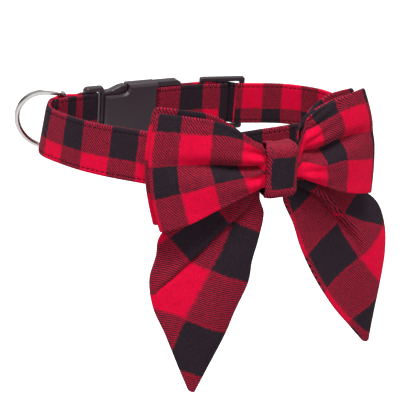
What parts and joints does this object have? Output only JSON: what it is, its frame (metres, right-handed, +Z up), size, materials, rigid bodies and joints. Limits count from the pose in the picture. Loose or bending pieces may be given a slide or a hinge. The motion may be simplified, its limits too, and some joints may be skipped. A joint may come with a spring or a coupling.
{
  "type": "pet bow tie collar",
  "caption": "Check flannel neck collar with a side release buckle, a slider, a D ring and a sailor bow with two long pointed tails.",
  "frame": {"origin": "centre of the neck opening at half the strap's width", "axes": "+X to the right of someone who faces the bow, -Y the way the bow faces, +Z up through the neck opening"},
  "size_m": [0.1727, 0.1338, 0.1541],
  "materials": {
    "strap_cloth": "brushed red and black check flannel",
    "bow_cloth": "brushed red and black check flannel",
    "plastic": "moulded, satin",
    "nickel": "polished plate on steel wire"
  },
  "bodies": {
    "collar": {"strap": "strap_cloth", "slider": "plastic", "buckle_prongs": "plastic", "buckle_housing": "plastic", "bow_front_loop": "bow_cloth", "bow_back_loop": "bow_cloth", "tail_left": "bow_cloth", "tail_right": "bow_cloth", "knot_wrap": "bow_cloth", "bow_tab": "bow_cloth"},
    "ring": {"d_ring": "nickel"}
  },
  "joints": [
    {"name": "ring_swing", "type": "hinge", "parent": "collar", "child": "ring", "pos_m": [-0.06399, 0.04988, -0.00148], "axis": [-0.0543, -0.137, 0.9891], "range_deg": [-90, 20]}
  ]
}
